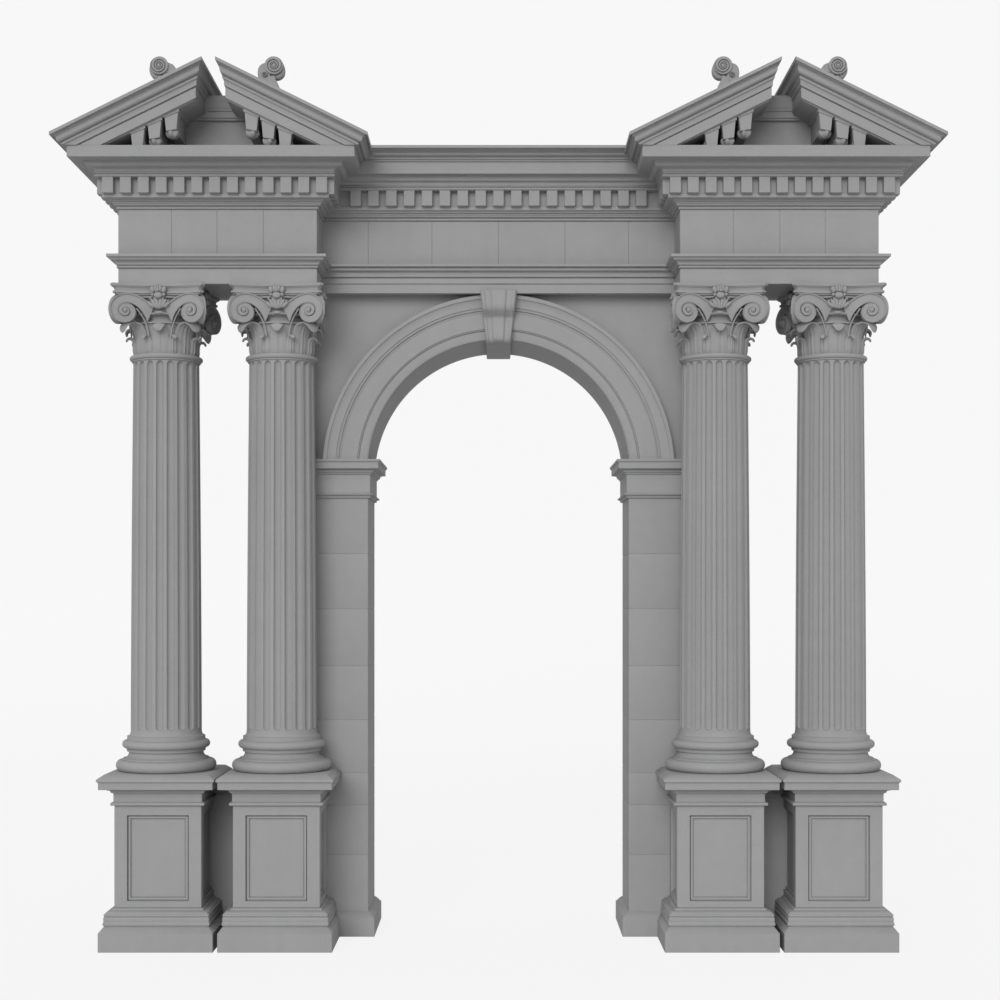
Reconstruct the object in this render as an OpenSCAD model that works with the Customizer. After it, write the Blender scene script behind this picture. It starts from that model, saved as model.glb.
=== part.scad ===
// Classical arched screen: a round archway between two pairs of Composite
// columns on pedestals, each pair under a broken pediment.
// X runs along the screen from the middle of the arch, the front faces -Y.

/* [Archway] */
// Half the clear width of the archway, also the radius of the arch
opening_half_w = 1360; // [1200:10:1700]
// Width of the moulded ring round the arch
archivolt_w = 465; // [380:5:560]
// How far the ring stands out from the wall
archivolt_proj = 90; // [40:5:120]
// Thickness of the wall that the arch is cut through
wall_t = 900; // [700:10:1400]
// Height of the moulded band under each end of the arch
impost_h = 395; // [320:5:480]
// Height of the impost's top above the centre of the arch
impost_rise = 117; // [90:1:150]
// How far the impost's top stands out from the wall
impost_proj = 130; // [105:1:165]
// Width of the keystone at its top
keystone_top_w = 380; // [320:5:460]
// Width of the keystone at its foot
keystone_foot_w = 250; // [200:5:300]
// How far the keystone hangs below the arch
keystone_drop = 68; // [40:1:90]

/* [Pedestals] */
// Width and depth of a pedestal's plain body, the die
die_w = 870; // [760:5:1050]
// Height of the die
die_h = 1022; // [800:1:1400]
// Gap between the caps of a pair of pedestals
pedestal_gap = 15; // [10:1:300]
// Height of the plinth's upright face
plinth_h = 187; // [150:1:240]
// How far the plinth stands out from the die
plinth_proj = 135; // [110:1:150]
// Distance from a die's edge to its sunk panel
panel_margin = 125; // [100:1:160]
// Distance from the die's top to its panel
panel_top_margin = 96; // [60:1:130]
// Distance from the die's foot to its panel
panel_foot_margin = 64; // [50:1:100]
// Width of the step round the sunk panel
panel_step = 42; // [30:1:60]
// Depth of each of the panel's two steps
panel_sink = 20; // [10:1:30]

/* [Columns] */
// Distance from the archway's side to the inner column's axis
jamb_to_column = 862; // [840:1:1200]
// Distance from the columns' axes to the wall's face
column_standoff = 285; // [240:1:330]
// Radius of the shaft at its foot
shaft_foot_r = 358; // [310:1:400]
// Radius of the shaft at its top
shaft_top_r = 332; // [280:1:355]
// Height of the shaft
shaft_h = 3870; // [3000:10:5000]
// Height of the base
base_h = 355; // [300:1:430]
// Height of the capital
capital_h = 683; // [560:1:820]
// Half the width of the abacus at its corners
abacus_half_w = 465; // [420:1:520]
// Diameter of a volute
volute_d = 290; // [240:1:330]

/* [Entablature] */
// Distance from a column's axis to the face of the block that it carries
block_margin = 403; // [375:1:430]
// How far the blocks reach back into the wall
block_bearing = 260; // [200:1:400]
// How far the wall's entablature stands out from the wall
wall_entablature_proj = 170; // [120:1:220]
// Height of the architrave
architrave_h = 282; // [240:1:340]
// Height of the plain frieze
frieze_h = 460; // [380:1:560]
// Height of the mouldings under the dentils
bed_h = 125; // [105:1:150]
// Height of the dentils
dentil_h = 158; // [130:1:190]
// Height of the mouldings between the dentils and the corona
soffit_h = 140; // [110:1:170]
// Height of the corona, the cornice's plain vertical band
corona_h = 113; // [90:1:140]
// Height of the wall cornice's crown moulding
crown_h = 134; // [110:1:150]
// How far the blocks' dentils stand out
dentil_proj = 185; // [150:1:215]
// How far the blocks' corona stands out
corona_proj = 412; // [350:1:450]
// How far the crown moulding stands out
crown_proj = 548; // [480:1:600]
// How far the wall's dentils stand out
wall_dentil_proj = 150; // [120:1:190]
// How far the wall's corona stands out
wall_corona_proj = 280; // [240:1:340]
// How far the wall's crown moulding stands out
wall_crown_proj = 437; // [380:1:500]
// Width of a dentil
dentil_w = 110; // [90:1:125]
// Distance from a cornice's corner to the nearest dentil along it
dentil_notch = 65; // [55:1:75]
// Number of dentils along the front of a block
dentil_count = 13; // [11:1:15]

/* [Pediments] */
// Slope of the raking cornices, in degrees
roof_angle = 26.3; // [21:0.1:31]
// Height of the eave's tip over the corona
eave_h = 94; // [80:1:120]
// Thickness of the raking crown moulding, square to the slope
rake_crown_t = 117; // [95:1:140]
// Thickness of the small mouldings under it
rake_bed_t = 70; // [55:1:85]
// Thickness of the raking corona
rake_corona_t = 113; // [90:1:135]
// Half the gap between the raking coronas at the break
break_half_w = 145; // [120:1:220]
// Distance from the block's face back to the tympanum
tympanum_inset = 155; // [100:1:300]
// Height of the tympanum's flat top over the horizontal corona
tympanum_h = 660; // [560:1:680]
// Width of a raking modillion
modillion_w = 137; // [115:1:160]
// Distance between the raking modillions
modillion_pitch = 175; // [165:1:200]
// How far the modillions stand out from the tympanum
modillion_proj = 290; // [200:1:330]
// Radius of a finial's scroll
finial_r = 93; // [75:1:115]
// Height of the scroll's centre over the raking cornice
finial_h = 340; // [300:1:430]
// Distance from the middle of the pediment to a finial
finial_x = 565; // [480:5:720]

/* [Hidden] */
$fn = 96;
ARCH_FN = 240; // the arch is far larger than the columns, so its circles are finer
stone = [0.62, 0.62, 0.62];
reach = 20000; // longer than any cut needs to be
NOTCH = 0.4; // hairline between curved faces and what is fitted round them

// Places along X
cap_proj = plinth_proj + 15;
column_pitch = die_w + 2 * cap_proj + pedestal_gap;
inner_x = opening_half_w + jamb_to_column;
outer_x = inner_x + column_pitch;
pair_x = (inner_x + outer_x) / 2;
wall_half_w = inner_x + shaft_top_r;
block_half_w = column_pitch / 2 + block_margin;

// Depths, measured back from the front of the dies
column_d = die_w / 2;
wall_d = column_d + column_standoff;
wall_back_d = wall_d + wall_t;
block_d = column_d - block_margin;
block_back_d = wall_d + block_bearing;
wall_frieze_d = wall_d - wall_entablature_proj;
wall_frieze_back_d = wall_back_d + wall_entablature_proj;
tympanum_d = block_d + tympanum_inset;
mid_d = (block_d - crown_proj + wall_frieze_back_d + wall_crown_proj) / 2;

// Heights
foot_h = plinth_h + 233; // plinth, its sloped top and the die's foot moulding
cap_h = 318;
pedestal_h = foot_h + die_h + cap_h;
shaft_z = pedestal_h + base_h;
capital_z = shaft_z + shaft_h;
architrave_z = capital_z + capital_h;
frieze_z = architrave_z + architrave_h;
bed_z = frieze_z + frieze_h;
dentil_z = bed_z + bed_h;
soffit_z = dentil_z + dentil_h;
corona_z = soffit_z + soffit_h;
corona_top_z = corona_z + corona_h;
arch_z = architrave_z - opening_half_w - archivolt_w;
impost_top_z = arch_z + impost_rise;
impost_z = impost_top_z - impost_h;

// Dentils
dentil_root = 80; // length of a dentil's block, which runs into the band behind it
dentil_set = dentil_notch + dentil_w / 2; // from a cornice's corner to the middle of the first dentil
dentil_edge = block_half_w + dentil_proj - dentil_set;
dentil_pitch = 2 * dentil_edge / (dentil_count - 1);
corner_gap = 115; // clear space beside the inner corners

// Slopes of the pediment
roof_slope = tan(roof_angle);
rake_t = rake_crown_t + rake_bed_t + rake_corona_t;
eave_x = block_half_w + crown_proj;
apex_z = corona_top_z + eave_h + eave_x * roof_slope;
rake_v = rake_t / cos(roof_angle); // thickness of a raking cornice measured upright
rake_foot_x = (apex_z - rake_v - corona_top_z) / roof_slope; // where its underside meets the corona

SIDES = ["left", "right"];
SIGN = [-1, 1];
COLUMN_X = [outer_x, inner_x];
COLUMN_NAMES = ["outer", "inner"];
COLUMN_PARTS = ["pedestal", "column_base", "shaft", "capital"];
SIDE_PARTS = ["dado_wall", "pier", "impost", "block_architrave", "block_frieze", "block_cornice", "tympanum"];
RAKE_PARTS = ["raking_cornice", "finial"];

// Outlines ---------------------------------------------------------------
// Each is a list of [how far it stands out, height] points, from the bottom up.

// Points of an arc about [x, y] with radius r, from angle a to angle b
function arc(x, y, r, a, b, steps) =
    [for (i = [0:steps]) let (t = a + (b - a) * i / steps) [x + r * cos(t), y + r * sin(t)]];

function raised(outline, z) = [for (p = outline) [p[0], p[1] + z]];

// Mouldings at the foot of a pedestal and of a pier
function foot_outline(proj) = [
    [proj, 0], [proj, plinth_h], [proj - 60, plinth_h + 63],
    [proj - 60, plinth_h + 103], [proj - 69, plinth_h + 110],
    [proj - 69, plinth_h + 150], [proj * 0.3, plinth_h + 190], [0, foot_h]
];

pedestal_outline = concat(
    foot_outline(plinth_proj),
    raised([
        [0, 0], [27, 0], [27, 42], [7, 42], [7, 83], [22, 112], [64, 170],
        [cap_proj - 17, 170], [cap_proj - 17, 238], [cap_proj, 246], [cap_proj, 274],
        [cap_proj - 65, cap_h]
    ], foot_h + die_h)
);

pier_outline = [
    [70, 0], [70, plinth_h], [12, plinth_h + 63], [0, plinth_h + 63], [0, impost_z]
];

dado_outline = [
    [45, 0], [45, plinth_h], [8, plinth_h + 63], [0, plinth_h + 63], [0, foot_h + die_h],
    [20, foot_h + die_h + 42], [60, foot_h + die_h + 170], [60, foot_h + die_h + 238]
];

impost_outline = [
    [22, 0], [22, 14], [52, 30], [52, 42], [24, 50], [24, impost_h - 155],
    [42, impost_h - 150], [42, impost_h - 135], [58, impost_h - 128], [76, impost_h - 104],
    [impost_proj - 16, impost_h - 98], [impost_proj - 16, impost_h - 34],
    [impost_proj, impost_h - 28], [impost_proj, impost_h]
];

architrave_outline = [
    [0, 0], [0, 100], [12, 105], [12, 150], [32, 158], [60, 190], [72, 225],
    [100, 237], [100, architrave_h]
];

// Mouldings under a row of dentils that stand out by d
function bed_outline(d) = [[0, 0], [20, 12], [20, 32], [44, 67], [d - 53, 77]];

// Mouldings over the dentils, and the corona, which stands out by c
function corona_outline(d, c) = raised([
    [d, 0], [d + 14, 30], [d + 0.35 * (c - d), 70], [d + 0.45 * (c - d), soffit_h],
    [c, soffit_h], [c, soffit_h + corona_h]
], bed_h + dentil_h);

// A cornice without its dentils
function cornice_outline(d, c) = concat(
    bed_outline(d),
    [[d - 53, bed_h], [d - 68, bed_h], [d - 68, bed_h + dentil_h]],
    corona_outline(d, c)
);

// The blocks' cornice with the band of dentils filled in, which what meets it is cut to fit
cornice_envelope = concat(
    bed_outline(dentil_proj), [[dentil_proj, 77]], corona_outline(dentil_proj, corona_proj)
);

wall_crown_outline = raised([
    [wall_corona_proj, 0], [wall_corona_proj + 20, 12], [wall_corona_proj + 20, 28],
    [wall_corona_proj + 40, 42], [wall_corona_proj + 75, 60], [wall_crown_proj - 22, crown_h - 50],
    [wall_crown_proj, crown_h - 34], [wall_crown_proj, crown_h]
], corona_top_z - bed_z);

// Sloping eave's edge, seen from the front
eave_outline = [
    [corona_proj, 0], [corona_proj + 25, 10], [corona_proj + 45, 26],
    [crown_proj - 30, eave_h - 30], [crown_proj, eave_h - 20], [crown_proj, eave_h]
];

// Raking cornice: [how far it stands out, depth below its top], square to the slope
rake_outline = [
    [crown_proj, 0], [crown_proj, 40], [crown_proj - 25, 50], [corona_proj + 60, 90],
    [corona_proj + 42, rake_crown_t], [corona_proj + 24, rake_crown_t + 25],
    [corona_proj + 24, rake_crown_t + 45], [corona_proj, rake_crown_t + rake_bed_t],
    [corona_proj, rake_t]
];

base_outline = concat(
    [[0, 0]],
    arc(shaft_foot_r + 92, 57, 57, -80, 80, 8),
    [[shaft_foot_r + 60, 117], [shaft_foot_r + 60, 133]],
    arc(shaft_foot_r + 83, 176, 52, 205, 155, 5),
    [[shaft_foot_r + 68, 212], [shaft_foot_r + 68, 230]],
    arc(shaft_foot_r + 44, 271, 41, -80, 80, 8),
    [[shaft_foot_r + 35, 318], [shaft_foot_r + 35, base_h], [0, base_h]]
);

// Radius of the shaft at a share t of its height, swelling a little below the middle
function shaft_r(t) = shaft_foot_r + (shaft_top_r - shaft_foot_r) * t * (0.45 + 0.55 * t);

shaft_outline = concat(
    [[0, 0], [shaft_foot_r + 14, 0], [shaft_foot_r + 14, 22]],
    [for (i = [0:8]) [shaft_r(i / 8), 50 + (shaft_h - 125) * i / 8]],
    [[shaft_top_r + 14, shaft_h - 62], [shaft_top_r + 14, shaft_h - 50]],
    arc(shaft_top_r + 12, shaft_h - 25, 25, -80, 80, 6),
    [[shaft_top_r, shaft_h], [0, shaft_h]]
);

bell_outline = [
    [0, 0], [shaft_top_r - 18, 0], [shaft_top_r + 10, 60], [shaft_top_r + 66, 185],
    [shaft_top_r + 20, 200], [shaft_top_r + 50, 290], [shaft_top_r + 60, 318],
    [shaft_top_r + 25, 335], [shaft_top_r + 34, 365], [shaft_top_r + 72, 400],
    [shaft_top_r + 60, 440], [shaft_top_r + 20, capital_h - 128], [0, capital_h - 128]
];

// Building blocks --------------------------------------------------------

// Polygon in the XZ plane, given its thickness from y0 back to y1
module front_plate(points, y0, y1)
    translate([0, y1, 0]) rotate([90, 0, 0]) linear_extrude(y1 - y0) polygon(points);

// Polygon of [y, z] points, given its length from x0 to x1
module side_plate(points, x0, x1)
    translate([x0, 0, 0]) rotate([90, 0, 90]) linear_extrude(x1 - x0) polygon(points);

// Block whose left, right, front and back edges follow one outline. The four
// factors are 1 where the outline stands out and 0 where the block is cut flat.
module moulded(x0, x1, y0, y1, outline, left = 1, right = 1, front = 1, back = 1) {
    n = len(outline);
    down = [for (i = [n - 1:-1:0]) outline[i]];
    most = max([for (p = outline) p[0]]);
    intersection() {
        front_plate(concat([for (p = outline) [x1 + right * p[0], p[1]]],
            [for (p = down) [x0 - left * p[0], p[1]]]), y0 - most, y1 + most);
        side_plate(concat([for (p = outline) [y0 - front * p[0], p[1]]],
            [for (p = down) [y1 + back * p[0], p[1]]]), x0 - most, x1 + most);
    }
}

// Everything in front of the wall's face
module before_wall(z0, z1)
    translate([-reach / 2, -reach, z0]) cube([reach, reach + wall_d, z1 - z0]);

// The left half is the right half's mirror image
module on_side(s) mirror([s < 0 ? 1 : 0, 0, 0]) children();

// Pedestals and columns --------------------------------------------------

// Inner pedestals and columns are engaged: they end at the wall's face
function is_inner(x) = x < pair_x;
function pedestal_back(x) = is_inner(x) ? wall_d : die_w;

module pedestal_body(x)
    moulded(x - die_w / 2, x + die_w / 2, 0, pedestal_back(x), pedestal_outline,
        back = is_inner(x) ? 0 : 1);

// Sunk panel in two steps, on a face of the given width that looks along -Y
module panel_cut(face_w) {
    panel_w = face_w - 2 * panel_margin;
    for (step = [0, 1]) {
        w = panel_w - 2 * step * panel_step;
        h = die_h - panel_top_margin - panel_foot_margin - 2 * step * panel_step;
        translate([-w / 2, -10, foot_h + panel_foot_margin + step * panel_step])
            cube([w, 10 + (step + 1) * panel_sink, h]);
    }
}

module pedestal(x) {
    back = pedestal_back(x);
    color(stone) difference() {
        pedestal_body(x);
        translate([x, 0, 0]) panel_cut(die_w);
        for (s = [-1, 1])
            translate([x + s * die_w / 2, back / 2, 0]) rotate([0, 0, s * 90]) panel_cut(back);
        if (!is_inner(x))
            translate([x, back, 0]) rotate([0, 0, 180]) panel_cut(die_w);
    }
}

// Round piece on a column's axis, cut at the wall where the column is engaged
module turned(x, z, outline)
    intersection() {
        translate([x, column_d, z]) rotate_extrude() polygon(outline);
        if (is_inner(x)) before_wall(z - 10, z + reach);
        else translate([x - reach / 2, -reach / 2, z - 10]) cube(reach);
    }

module column_base(x) color(stone) turned(x, pedestal_h, base_outline);

module shaft(x) color(stone) turned(x, shaft_z, shaft_outline);

// Square plate with hollow sides
module abacus() {
    hollow_r = 900;
    rise = 62;
    translate([0, 0, capital_h - 128]) linear_extrude(128) difference() {
        square(2 * abacus_half_w, center = true);
        for (a = [0:90:270]) rotate(a) translate([abacus_half_w + hollow_r - rise, 0]) circle(hollow_r);
        for (a = [45:90:315]) rotate(a) translate([abacus_half_w * 1.29, -100]) square(200);
    }
}

module capital(x)
    color(stone) intersection() {
        translate([x, column_d, capital_z]) {
            rotate_extrude() polygon(bell_outline);
            abacus();
            for (sx = [-1, 1], sy = [-1, 1])
                translate([sx * (abacus_half_w - volute_d / 2), sy * (abacus_half_w - 70), capital_h - 275])
                    rotate([90, 0, 0]) cylinder(d = volute_d, h = 190, center = true);
        }
        if (is_inner(x)) before_wall(0, reach);
        else translate([x - reach / 2, -reach / 2, 0]) cube(reach);
    }

// Wall -------------------------------------------------------------------

module dado_wall()
    color(stone) difference() {
        moulded(wall_half_w, outer_x - die_w / 2, wall_d, die_w - 10, dado_outline,
            left = 0, right = 0, back = 0);
        pedestal_body(inner_x);
        pedestal_body(outer_x);
    }

module pier()
    color(stone) difference() {
        moulded(opening_half_w, wall_half_w, wall_d, wall_back_d, pier_outline, right = 0);
        pedestal_body(inner_x);
    }

module impost()
    color(stone) difference() {
        moulded(opening_half_w, wall_half_w, wall_d, wall_back_d, raised(impost_outline, impost_z),
            right = 0);
        translate([inner_x, column_d, shaft_z]) rotate_extrude()
            polygon([for (p = shaft_outline) [p[0] > 0 ? p[0] + NOTCH : 0, p[1]]]);
    }

module arch_hole(r, y0, y1)
    translate([0, y1, arch_z]) rotate([90, 0, 0]) cylinder(r = r, h = y1 - y0, $fn = ARCH_FN);

module arch_wall()
    color(stone) difference() {
        translate([-wall_half_w, wall_d, impost_top_z])
            cube([2 * wall_half_w, wall_t, architrave_z - impost_top_z]);
        arch_hole(opening_half_w, wall_d - 10, wall_back_d + 10);
        keystone_body();
    }

// Moulded ring round one face of the arch, standing out along +Z
module archivolt_ring() {
    r = opening_half_w;
    edge = r + archivolt_w;
    out = archivolt_proj;
    rotate_extrude($fn = ARCH_FN) polygon([
        [r, 0], [r, out - 20], [r + 96, out - 20], [r + 96, out - 8], [edge - 177, out - 8],
        [edge - 177, out + 4], [edge - 160, out + 4], [edge - 150, out - 6], [edge - 110, out - 2],
        [edge - 75, out + 14], [edge - 45, out + 22], [edge - 36, out + 30], [edge, out + 30], [edge, 0]
    ]);
}

module archivolt(depth, turn)
    color(stone) difference() {
        translate([0, depth, arch_z]) rotate([turn, 0, 0]) archivolt_ring();
        translate([-reach / 2, depth - 500, impost_top_z - reach]) cube([reach, 1000, reach]);
        keystone_body();
    }

// The keystone's wedge shape meets its scrolled side outline
module keystone_body() {
    foot_z = arch_z + opening_half_w - keystone_drop;
    face = archivolt_proj + 50;
    depth = [ // how far the face stands out at shares of the height, from the foot up
        [0, face - 20], [0.05, face + 14], [0.16, face + 30], [0.3, face + 24], [0.45, face + 6],
        [0.56, face + 2], [0.66, face + 22], [0.78, face + 56], [0.92, face + 84], [1, face + 90]
    ];
    rise = architrave_z - foot_z;
    lip = 20;
    intersection() {
        front_plate([[-keystone_foot_w / 2, foot_z], [keystone_foot_w / 2, foot_z],
            [keystone_top_w / 2, architrave_z + lip], [-keystone_top_w / 2, architrave_z + lip]],
            wall_d - 400, wall_back_d + 400);
        side_plate(concat(
            [for (p = depth) [wall_d - p[1], foot_z + rise * p[0]]],
            [[wall_d - face - 90, architrave_z + lip], [wall_frieze_d, architrave_z + lip],
             [wall_frieze_d, architrave_z], [wall_frieze_back_d, architrave_z],
             [wall_frieze_back_d, architrave_z + lip], [wall_back_d + face + 90, architrave_z + lip]],
            [for (i = [len(depth) - 1:-1:0]) [wall_back_d + depth[i][1], foot_z + rise * depth[i][0]]]),
            -reach / 2, reach / 2);
    }
}

module keystone() color(stone) keystone_body();

// Entablature ------------------------------------------------------------

module block_layer(z, outline)
    moulded(pair_x - block_half_w, pair_x + block_half_w, block_d, block_back_d,
        raised(outline, z), back = 0);

module wall_layer(z, outline)
    moulded(-wall_half_w, wall_half_w, wall_frieze_d, wall_frieze_back_d, raised(outline, z));

module both_sides() for (s = SIGN) on_side(s) children();

function plain_outline(h) = [[0, 0], [0, h]];

module block_architrave() color(stone) block_layer(architrave_z, architrave_outline);

module block_frieze() color(stone) block_layer(frieze_z, plain_outline(frieze_h));

// Dentils whose fronts lie on y, spaced evenly from x0 to x1
module dentil_row(x0, x1, y, count)
    for (i = [0:count - 1])
        translate([x0 + (x1 - x0) * i / (count - 1) - dentil_w / 2, y, dentil_z])
            cube([dentil_w, dentil_root, dentil_h]);

// Dentils whose outer ends lie on x, one dentil_pitch apart from the depth y0 to y1 at most.
// s is 1 where they look along +X, -1 where they look along -X.
module side_dentils(x, s, y0, y1)
    for (y = [y0:dentil_pitch:y1])
        translate([s > 0 ? x - dentil_root : x, y - dentil_w / 2, dentil_z])
            cube([dentil_root, dentil_w, dentil_h]);

module block_cornice()
    color(stone) {
        block_layer(bed_z, cornice_outline(dentil_proj, corona_proj));
        dentil_row(pair_x - dentil_edge, pair_x + dentil_edge, block_d - dentil_proj, dentil_count);
        for (s = [-1, 1])
            side_dentils(pair_x + s * (block_half_w + dentil_proj), s,
                block_d - dentil_proj + dentil_set, block_back_d - dentil_w / 2);
    }

module wall_architrave()
    color(stone) difference() {
        wall_layer(architrave_z, architrave_outline);
        both_sides() block_layer(architrave_z, architrave_outline);
        keystone_body();
    }

module wall_frieze()
    color(stone) difference() {
        wall_layer(frieze_z, plain_outline(frieze_h));
        both_sides() block_layer(frieze_z, plain_outline(frieze_h));
    }

module wall_cornice() {
    front_edge = pair_x - block_half_w - dentil_proj - corner_gap - dentil_w / 2;
    front_count = 2 * floor(front_edge / dentil_pitch) + 1;
    back_edge = wall_half_w + wall_dentil_proj - dentil_set;
    back_count = 2 * floor(back_edge / dentil_pitch) + 1;
    back_end = wall_frieze_back_d + wall_dentil_proj - dentil_set;
    end_count = floor((back_end - block_back_d - dentil_w / 2) / dentil_pitch);
    color(stone) {
        difference() {
            wall_layer(bed_z, concat(cornice_outline(wall_dentil_proj, wall_corona_proj), wall_crown_outline));
            both_sides() {
                block_layer(bed_z, cornice_envelope);
                rake_body(-1);
                translate([pair_x - block_half_w - corona_proj, block_back_d - reach, corona_top_z])
                    cube([reach, reach, reach]);
            }
        }
        dentil_row(-front_edge, front_edge, wall_frieze_d - wall_dentil_proj, front_count);
        translate([0, wall_frieze_d + wall_frieze_back_d, 0]) mirror([0, 1, 0])
            dentil_row(-back_edge, back_edge, wall_frieze_d - wall_dentil_proj, back_count);
        for (s = SIGN)
            side_dentils(s * (wall_half_w + wall_dentil_proj), s,
                back_end - end_count * dentil_pitch, back_end + 1);
    }
}

// Pediments --------------------------------------------------------------

// Height of the raking cornice's top at distance x from the middle of the pediment
function rake_top(x) = apex_z - abs(x) * roof_slope;

// Front view of one raking cornice, x measured out from the middle of the pediment
function rake_front_points() =
    let (end_crown = break_half_w - 78)
    concat(
        [[break_half_w, rake_top(break_half_w) - rake_v], [rake_foot_x, corona_top_z]],
        [for (p = eave_outline) [block_half_w + p[0], corona_top_z + p[1]]],
        [[end_crown, rake_top(end_crown)],
         [end_crown, rake_top(end_crown) - 45],
         [end_crown + 40, rake_top(end_crown + 40) - 130],
         [break_half_w - 14, rake_top(break_half_w) - 170],
         [break_half_w, rake_top(break_half_w) - 210]]
    );

// One raking cornice of the right-hand pediment: s is 1 for its outer half, -1 for its inner half
module rake_body(s)
    translate([pair_x, 0, 0]) mirror([s < 0 ? 1 : 0, 0, 0]) intersection() {
        front_plate(rake_front_points(), block_d - crown_proj - 50, block_back_d);
        translate([0, 0, apex_z]) rotate([0, roof_angle, 0])
            side_plate(concat(
                [for (p = rake_outline) [block_d - p[0], -p[1]]],
                [[block_d - corona_proj, -rake_t - 600], [block_back_d + 50, -rake_t - 600],
                 [block_back_d + 50, 0]]), -500, 3000);
    }

module raking_cornice(s) color(stone) rake_body(s);

// Gable wall between the raking cornices, with modillion blocks under them
module tympanum() {
    modillion_x = [for (i = [0:2]) break_half_w + 258 + i * modillion_pitch];
    color(stone) translate([pair_x, 0, 0]) {
        front_plate([
            [-rake_foot_x, corona_top_z], [rake_foot_x, corona_top_z],
            [break_half_w, rake_top(break_half_w) - rake_v],
            [-break_half_w, rake_top(break_half_w) - rake_v]], tympanum_d, block_back_d);
        translate([-90, tympanum_d, corona_top_z])
            cube([180, block_back_d - tympanum_d, tympanum_h]);
        for (s = [-1, 1], x = modillion_x) {
            top = rake_top(x) - rake_v;
            drop = modillion_w / 2 * roof_slope;
            mirror([s < 0 ? 1 : 0, 0, 0]) front_plate([
                [x - modillion_w / 2, max(corona_top_z, top - 200)],
                [x + modillion_w / 2, max(corona_top_z, top - 200)],
                [x + modillion_w / 2, top - drop],
                [x - modillion_w / 2, top + drop]], tympanum_d - modillion_proj, tympanum_d);
        }
    }
}

// Scroll on a leaning neck that stands on the raking cornice
module finial(s) {
    z = rake_top(finial_x);
    t = 150;
    y = block_d - t / 2;
    neck = finial_r * 0.75;
    color(stone) translate([pair_x, 0, 0]) mirror([s < 0 ? 1 : 0, 0, 0]) {
        translate([finial_x, y + t, z + finial_h]) rotate([90, 0, 0])
            cylinder(r = finial_r, h = t);
        front_plate([
            [finial_x - neck, rake_top(finial_x - neck)], [finial_x + neck, rake_top(finial_x + neck)],
            [finial_x + neck, z + finial_h], [finial_x - neck, z + finial_h]], y, y + t);
    }
}

// Assembly ---------------------------------------------------------------

// Draws one named piece with the whole object's middle at the origin
module part(name) translate([0, -mid_d, 0]) children();

for (i = [0, 1]) {
    side = SIDES[i];
    for (j = [0, 1]) {
        x = COLUMN_X[j];
        place = str(side, "_", COLUMN_NAMES[j], "_");
        s = j == 0 ? 1 : -1;
        part(str(place, "pedestal")) on_side(SIGN[i]) pedestal(x);
        part(str(place, "column_base")) on_side(SIGN[i]) column_base(x);
        part(str(place, "shaft")) on_side(SIGN[i]) shaft(x);
        part(str(place, "capital")) on_side(SIGN[i]) capital(x);
        part(str(place, "raking_cornice")) on_side(SIGN[i]) raking_cornice(s);
        part(str(place, "finial")) on_side(SIGN[i]) finial(s);
    }
    part(str(side, "_dado_wall")) on_side(SIGN[i]) dado_wall();
    part(str(side, "_pier")) on_side(SIGN[i]) pier();
    part(str(side, "_impost")) on_side(SIGN[i]) impost();
    part(str(side, "_block_architrave")) on_side(SIGN[i]) block_architrave();
    part(str(side, "_block_frieze")) on_side(SIGN[i]) block_frieze();
    part(str(side, "_block_cornice")) on_side(SIGN[i]) block_cornice();
    part(str(side, "_tympanum")) on_side(SIGN[i]) tympanum();
}
part("arch_wall") arch_wall();
part("front_archivolt") archivolt(wall_d, 90);
part("back_archivolt") archivolt(wall_back_d, -90);
part("keystone") keystone();
part("wall_architrave") wall_architrave();
part("wall_frieze") wall_frieze();
part("wall_cornice") wall_cornice();
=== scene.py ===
# Looks of a classical arched screen: archway, coupled Composite columns, broken pediments.
# Everything is in metres, but outlines and paths are in millimetres: [how far out, height],
# from the bottom up.
import math

import bmesh
import bpy
import numpy as np
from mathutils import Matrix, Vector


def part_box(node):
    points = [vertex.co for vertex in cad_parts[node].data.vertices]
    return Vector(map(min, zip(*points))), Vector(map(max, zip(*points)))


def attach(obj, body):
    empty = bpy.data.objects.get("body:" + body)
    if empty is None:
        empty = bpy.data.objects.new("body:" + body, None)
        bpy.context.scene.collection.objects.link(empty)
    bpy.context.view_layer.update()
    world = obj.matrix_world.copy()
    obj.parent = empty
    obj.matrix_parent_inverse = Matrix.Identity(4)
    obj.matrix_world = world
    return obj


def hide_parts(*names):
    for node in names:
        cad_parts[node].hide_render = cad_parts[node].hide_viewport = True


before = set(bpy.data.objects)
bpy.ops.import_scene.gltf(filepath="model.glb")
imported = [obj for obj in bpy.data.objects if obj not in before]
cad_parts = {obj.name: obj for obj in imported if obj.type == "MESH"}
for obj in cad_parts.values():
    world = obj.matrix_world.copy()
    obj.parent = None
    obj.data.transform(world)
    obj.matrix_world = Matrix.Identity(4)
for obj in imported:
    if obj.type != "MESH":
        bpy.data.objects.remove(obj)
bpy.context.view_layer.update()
scene = bpy.context.scene
print("frame loaded:", len(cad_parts), "nodes")


def low(node, axis):
    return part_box(node)[0][axis]


def high(node, axis):
    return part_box(node)[1][axis]


def middle(node, axis):
    return (low(node, axis) + high(node, axis)) / 2


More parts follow.
